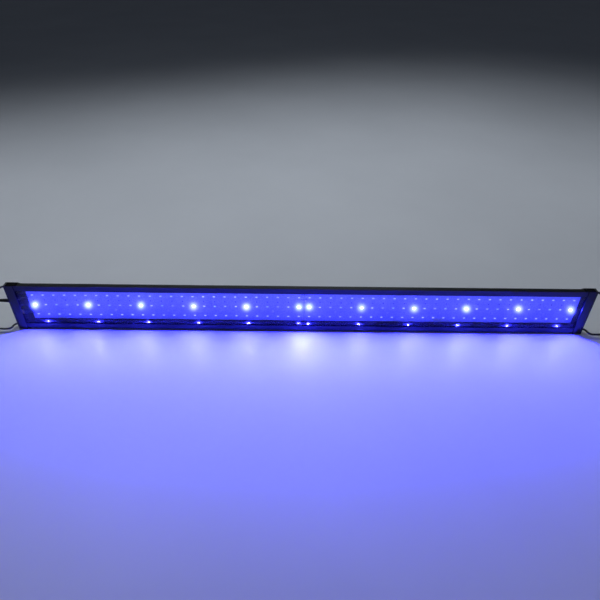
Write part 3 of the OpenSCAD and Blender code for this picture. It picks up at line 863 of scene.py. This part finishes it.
def bracket_route(side):
    """The wire from one arm's inner end, round the crossbar, to the other arm's inner end."""
    arm, foot, bend, corner = 5.0, -13.0, 9.0, 8.0
    inner_end, arm_end, crossbar = 474, 586, 634
    half = [(inner_end, arm, 0), (540, arm, 0), (580, arm, 0)]
    for k in range(9):
        a = math.radians(90 * k / 8)
        half.append((arm_end + bend * math.sin(a), arm - bend + bend * math.cos(a), 0))
    for k in range(1, 9):
        a = math.radians(90 * k / 8)
        half.append((arm_end + 2 * bend - bend * math.cos(a), foot + bend - bend * math.sin(a), 0))
    for k in range(11):
        a = math.radians(90 * k / 10)
        half.append((crossbar - corner + corner * math.sin(a), foot, corner - corner * math.cos(a)))
    lower = [(side * x, y, MID_Z - 47 + dz) for x, y, dz in half]
    upper = [(side * x, y, MID_Z + 47 - dz) for x, y, dz in half]
    return lower + upper[::-1]


def make_bracket(name, side):
    bm = bmesh.new()
    tube(bm, bracket_route(side), 2.0, 24)
    obj = mesh_object(f"wire_{name}", bm, [COATED], 50)
    rounded(obj, 0.35, 60)
    keep(obj, f"bracket_{name}", "bracket_black", f"bracket_{name}")
    profile = [(0, 2.02), (0, 3.4), (0.25, 3.8), (0.7, 4.0)]
    for k in range(15):
        s = 3.0 + 4.4 * k
        profile += [(s, 4.0), (s + 0.2, 3.72), (s + 0.7, 3.65), (s + 1.2, 3.72), (s + 1.4, 4.0)]
    profile += [(67.3, 4.0), (67.75, 3.8), (68, 3.4), (68, 2.02)]
    bm = bmesh.new()
    lathe(bm, (side * 634, -13, 20), (0, 0, 1), profile + [(34, 2.02), (0, 2.02)], 40)
    sleeve = mesh_object(f"sleeve_{name}", bm, [RUBBER], 40)
    keep(sleeve, f"bracket_{name}", "sleeve_rubber", f"rim_sleeve_{name}")


make_bracket("left", -1)
make_bracket("right", 1)


# ---------------------------------------------------------------- light and floor

def link(obj):
    bpy.context.scene.collection.objects.link(obj)
    return obj


def area_light(name, where, aim, size, power, colour, tall=None, spread=180):
    data = bpy.data.lights.new(name, "AREA")
    data.energy = power
    data.color = colour
    data.size = size
    data.spread = math.radians(spread)
    if tall:
        data.shape = "RECTANGLE"
        data.size_y = tall
    light = link(bpy.data.objects.new(name, data))
    light.location = where
    light.rotation_euler = (Vector(aim) - Vector(where)).to_track_quat("-Z", "Y").to_euler()
    light.visible_camera = False


def glow_light(name, where, radius, power, colour):
    data = bpy.data.lights.new(name, "POINT")
    data.energy = power
    data.color = colour
    data.shadow_soft_size = radius
    light = link(bpy.data.objects.new(name, data))
    light.location = where
    light.visible_camera = light.visible_glossy = False


key = link(bpy.data.objects.new("key", bpy.data.lights.new("key", "SUN")))
key.data.energy = 0.07
key.data.angle = math.radians(70)
key.data.color = (0.72, 0.84, 1.0)
key.rotation_euler = (math.radians(24), math.radians(-22), 0)

DUSK = (0.84, 0.91, 1.0)
area_light("fill", (1.6, -1.1, 1.5), (0, 0, 0), size=1.6, power=1.5, colour=(0.82, 0.90, 1.0))
area_light("rim", (-0.3, 1.1, 1.9), (0, 0.5, 0.05), size=2.4, power=8.0, colour=DUSK, tall=0.9, spread=100)
area_light("side_left", (-1.9, 0.5, 0.9), (-0.6, 0, 0.05), size=1.0, power=3.0, colour=DUSK)
area_light("side_right", (1.9, 0.5, 0.9), (0.6, 0, 0.05), size=1.0, power=3.0, colour=DUSK)

BEAM = {"size": 3.8 * MM, "power": 1.35, "colour": (0.024, 0.021, 1.0), "tall": 1.8 * MM}
GLOW = {"radius": 1.5 * MM, "power": 0.034, "colour": (0.006, 0.012, 1.0)}
for column in range(2 * COLUMNS):
    if led_kind(column, 0) == "blue":
        x = led_x(column)
        area_light(f"led_{column}", point(x, 7.9, MID_Z), point(x, -50, MID_Z), **BEAM)
        glow_light(f"glow_{column}", point(x, -0.3, MID_Z), **GLOW)

world = bpy.data.worlds.new("studio")
bpy.context.scene.world = world
world.use_nodes = True
sky = world.node_tree.nodes["Background"].inputs
sky["Color"].default_value = (0.62, 0.72, 1.0, 1.0)
sky["Strength"].default_value = 0.022

floor_finish = Finish("floor_pale")
cloud = floor_finish.noise(420.0, 4.0)
floor_finish.set(
    Base_Color=floor_finish.mix(floor_finish.spread(cloud, 0.0, 1.0), (0.70, 0.71, 0.73), (0.75, 0.76, 0.78)),
    Roughness=floor_finish.spread(cloud, 0.40, 0.45), Specular_IOR_Level=0.22)
floor_bm = bmesh.new()
bmesh.ops.create_grid(floor_bm, x_segments=1, y_segments=1, size=12.0)
floor_mesh = bpy.data.meshes.new("floor")
floor_bm.to_mesh(floor_mesh)
floor_bm.free()
floor_mesh.materials.append(floor_finish.material)
floor = link(bpy.data.objects.new("floor", floor_mesh))

scene = bpy.context.scene
scene.view_settings.view_transform = "Standard"
scene.view_settings.look = "None"
scene.view_settings.exposure = 0.0


def camera_bloom(threshold, width, share):
    """The camera's own bloom: what is brighter than a threshold, blurred and added to the picture."""
    scene.use_nodes = True
    tree = scene.node_tree
    tree.nodes.clear()
    layers = tree.nodes.new("CompositorNodeRLayers")
    glare = tree.nodes.new("CompositorNodeGlare")
    glare.glare_type = "BLOOM"
    glare.inputs["Threshold"].default_value = threshold
    blur = tree.nodes.new("CompositorNodeBlur")
    blur.filter_type = "GAUSS"
    blur.inputs["Size"].default_value = (width, width)
    bloom = tree.nodes.new("CompositorNodeMixRGB")
    bloom.blend_type = "ADD"
    bloom.inputs["Fac"].default_value = share
    output = tree.nodes.new("CompositorNodeComposite")
    tree.links.new(layers.outputs["Image"], glare.inputs["Image"])
    tree.links.new(glare.outputs["Highlights"], blur.inputs["Image"])
    tree.links.new(layers.outputs["Image"], bloom.inputs[1])
    tree.links.new(blur.outputs["Image"], bloom.inputs[2])
    tree.links.new(bloom.outputs["Image"], output.inputs["Image"])


camera_bloom(threshold=400.0, width=6.0, share=0.038)
